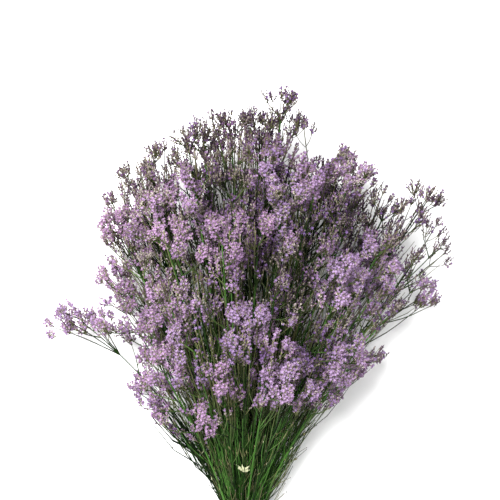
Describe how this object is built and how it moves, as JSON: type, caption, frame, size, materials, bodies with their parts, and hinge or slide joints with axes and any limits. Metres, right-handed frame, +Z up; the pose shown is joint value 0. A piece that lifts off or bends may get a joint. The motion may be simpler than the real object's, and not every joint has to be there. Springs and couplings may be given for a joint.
{
  "type": "cut statice bunch",
  "caption": "Bunch of branching sea lavender with small lilac flowers on green stems, tied with twine and lying down.",
  "frame": {"origin": "on the surface that the bunch lies on, in the middle of the flat underside of the twine", "axes": "+Y along the bunch from the cut ends to the flowers, +Z up, +X to the right seen from above with the flowers pointing away"},
  "size_m": [0.4466, 0.6184, 0.1991],
  "materials": {
    "lilac_spray": "matt papery flowers on green stems",
    "green_twig": "matt green stem",
    "jute_twine": "rough natural fibre"
  },
  "bodies": {
    "root": {"bare_twig": "green_twig", "spray_01": "lilac_spray", "spray_02": "lilac_spray", "spray_03": "lilac_spray", "spray_04": "lilac_spray", "spray_05": "lilac_spray", "spray_06": "lilac_spray", "spray_07": "lilac_spray", "spray_08": "lilac_spray", "spray_09": "lilac_spray", "spray_10": "lilac_spray", "spray_11": "lilac_spray", "spray_12": "lilac_spray", "spray_13": "lilac_spray", "spray_14": "lilac_spray", "spray_15": "lilac_spray", "spray_16": "lilac_spray", "spray_17": "lilac_spray", "spray_18": "lilac_spray", "spray_19": "lilac_spray", "spray_20": "lilac_spray", "spray_21": "lilac_spray", "spray_22": "lilac_spray", "spray_23": "lilac_spray", "spray_24": "lilac_spray", "spray_25": "lilac_spray", "spray_26": "lilac_spray", "spray_27": "lilac_spray", "spray_28": "lilac_spray", "spray_29": "lilac_spray", "spray_30": "lilac_spray", "spray_31": "lilac_spray", "spray_32": "lilac_spray", "spray_33": "lilac_spray", "spray_34": "lilac_spray", "spray_35": "lilac_spray", "spray_36": "lilac_spray", "spray_37": "lilac_spray", "spray_38": "lilac_spray", "spray_39": "lilac_spray", "spray_40": "lilac_spray", "spray_41": "lilac_spray", "spray_42": "lilac_spray", "spray_43": "lilac_spray", "spray_44": "lilac_spray", "spray_45": "lilac_spray", "spray_46": "lilac_spray", "spray_47": "lilac_spray", "spray_48": "lilac_spray", "spray_49": "lilac_spray", "spray_50": "lilac_spray", "spray_51": "lilac_spray", "spray_52": "lilac_spray", "spray_53": "lilac_spray", "spray_54": "lilac_spray", "spray_55": "lilac_spray", "spray_56": "lilac_spray", "tie": "jute_twine"}
  },
  "joints": []
}
